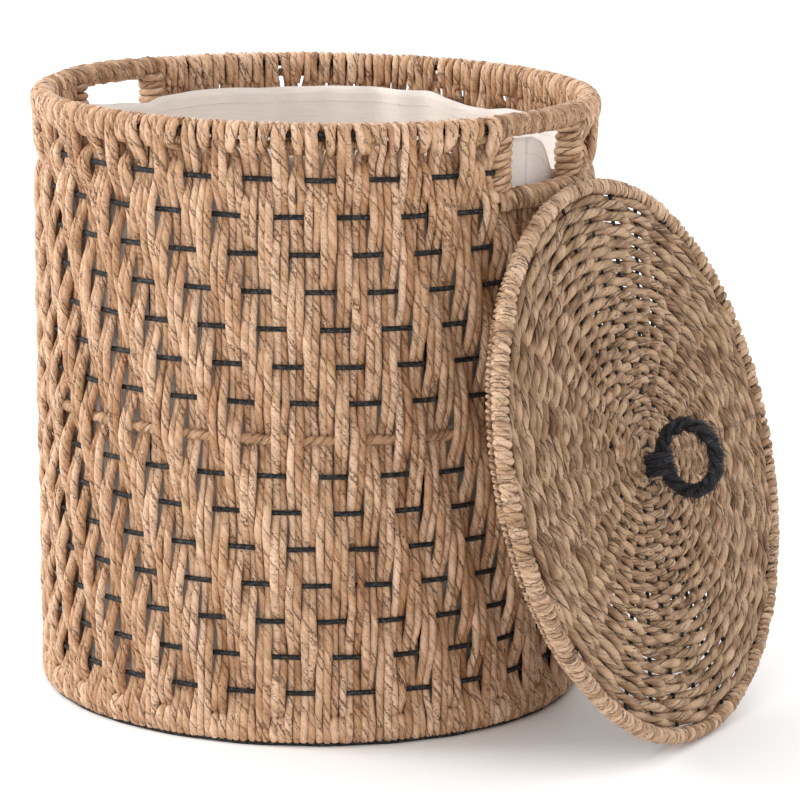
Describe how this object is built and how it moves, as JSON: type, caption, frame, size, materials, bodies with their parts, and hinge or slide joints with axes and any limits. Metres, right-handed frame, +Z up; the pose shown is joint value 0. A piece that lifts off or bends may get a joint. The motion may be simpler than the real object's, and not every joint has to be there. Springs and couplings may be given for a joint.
{
  "type": "seagrass storage basket",
  "caption": "Round woven seagrass basket on a black wire frame, with hand holes, a loose cotton liner and a rope-ring lid leaning on it.",
  "frame": {"origin": "centre of the flat underside that the basket stands on", "axes": "+Z up; +X through the hand hole that the lid leans beside, -X through the other"},
  "size_m": [0.5882, 0.4737, 0.4832],
  "materials": {
    "seagrass_weave": "twisted cord, woven, dry matt with a slight sheen",
    "seagrass_wrap": "twisted cord, wrapped side by side",
    "lid_seagrass": "twisted cord in woven rings, greyer",
    "lid_wrap": "twisted cord, wrapped side by side, paler",
    "black_wire": "black powder coat, satin",
    "black_rope": "twisted black rope, matt",
    "liner_cotton": "fine plain-weave cotton, matt"
  },
  "bodies": {
    "basket": {"top_ring": "black_wire", "upper_collar_ring": "black_wire", "lower_collar_ring": "black_wire", "base_ring": "black_wire", "floor_spokes": "black_wire", "hoop_01_back": "black_wire", "hoop_01_front": "black_wire", "hoop_02": "black_wire", "hoop_03": "black_wire", "hoop_04": "black_wire", "hoop_05": "black_wire", "hoop_06": "black_wire", "hoop_07": "black_wire", "hoop_08": "black_wire", "hoop_09": "black_wire", "hoop_10": "black_wire", "hoop_11": "black_wire", "hoop_12": "black_wire", "hoop_13": "black_wire", "hoop_14": "black_wire", "hoop_15": "black_wire", "upright_1": "black_wire", "upright_2": "black_wire", "upright_3": "black_wire", "upright_4": "black_wire", "upright_5": "black_wire", "upright_6": "black_wire", "right_hole_wire": "black_wire", "left_hole_wire": "black_wire", "side_weave": "seagrass_weave", "floor_weave": "seagrass_weave", "rim_wrap": "seagrass_wrap", "hoop_08_wrap": "seagrass_wrap", "base_wrap": "seagrass_wrap", "right_hole_front_post": "seagrass_wrap", "right_hole_back_post": "seagrass_wrap", "right_hole_sill": "seagrass_wrap", "left_hole_front_post": "seagrass_wrap", "left_hole_back_post": "seagrass_wrap", "left_hole_sill": "seagrass_wrap"},
    "liner": {"liner_side": "liner_cotton", "liner_bottom": "liner_cotton"},
    "lid": {"lid_border_wrap": "lid_wrap", "lid_border_wire": "black_wire", "lid_weave": "lid_seagrass", "lid_spokes": "black_wire", "lid_locating_ring": "lid_wrap", "locating_tie_1": "lid_wrap", "locating_tie_2": "lid_wrap", "locating_tie_3": "lid_wrap", "locating_tie_4": "lid_wrap", "locating_tie_5": "lid_wrap", "locating_tie_6": "lid_wrap", "handle_lashing": "black_rope"},
    "rope_ring": {"handle_ring": "black_rope"}
  },
  "joints": [
    {"name": "liner_lift", "type": "slide", "parent": "basket", "child": "liner", "axis": [0, 0, 1], "range_m": [0, 0.5]},
    {"name": "lid_lift_off", "type": "slide", "parent": "basket", "child": "lid", "axis": [0.7037, 0.069, 0.7071], "range_m": [0, 0.45]},
    {"name": "rope_ring_flop", "type": "hinge", "parent": "lid", "child": "rope_ring", "pos_m": [0.30598, 0.03, 0.21671], "axis": [-0.266, -0.0261, 0.9636], "range_deg": [-80, 80]}
  ]
}
